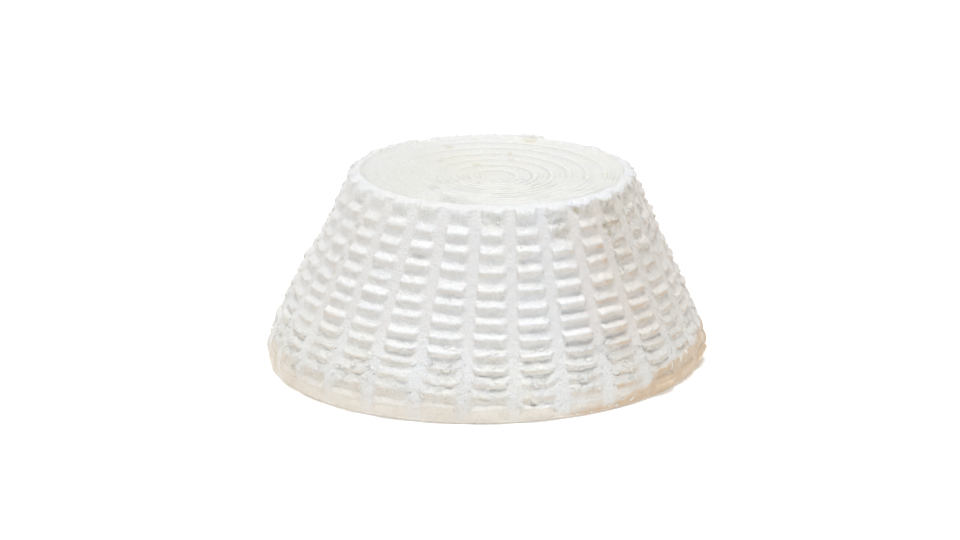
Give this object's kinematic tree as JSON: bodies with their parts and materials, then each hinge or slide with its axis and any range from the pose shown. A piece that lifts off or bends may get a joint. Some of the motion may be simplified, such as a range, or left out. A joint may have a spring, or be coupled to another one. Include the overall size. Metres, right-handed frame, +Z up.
{
  "type": "moulded ricotta round",
  "caption": "Tapered round of fresh ricotta with a basket-printed flank, ringed flat top and plain collar, for a cheese counter or a table.",
  "frame": {"origin": "centre of the flat base, at the height of the base", "axes": "+Z up through the ringed top, +X towards the side that the round leans to, -Y towards the viewer"},
  "size_m": [0.2002, 0.2002, 0.0895],
  "materials": {
    "fresh_curd": "moist, softly glossy fresh curd, milk white, a little warmer and wetter at the collar"
  },
  "bodies": {
    "root": {"ricotta_round": "fresh_curd"}
  },
  "joints": []
}
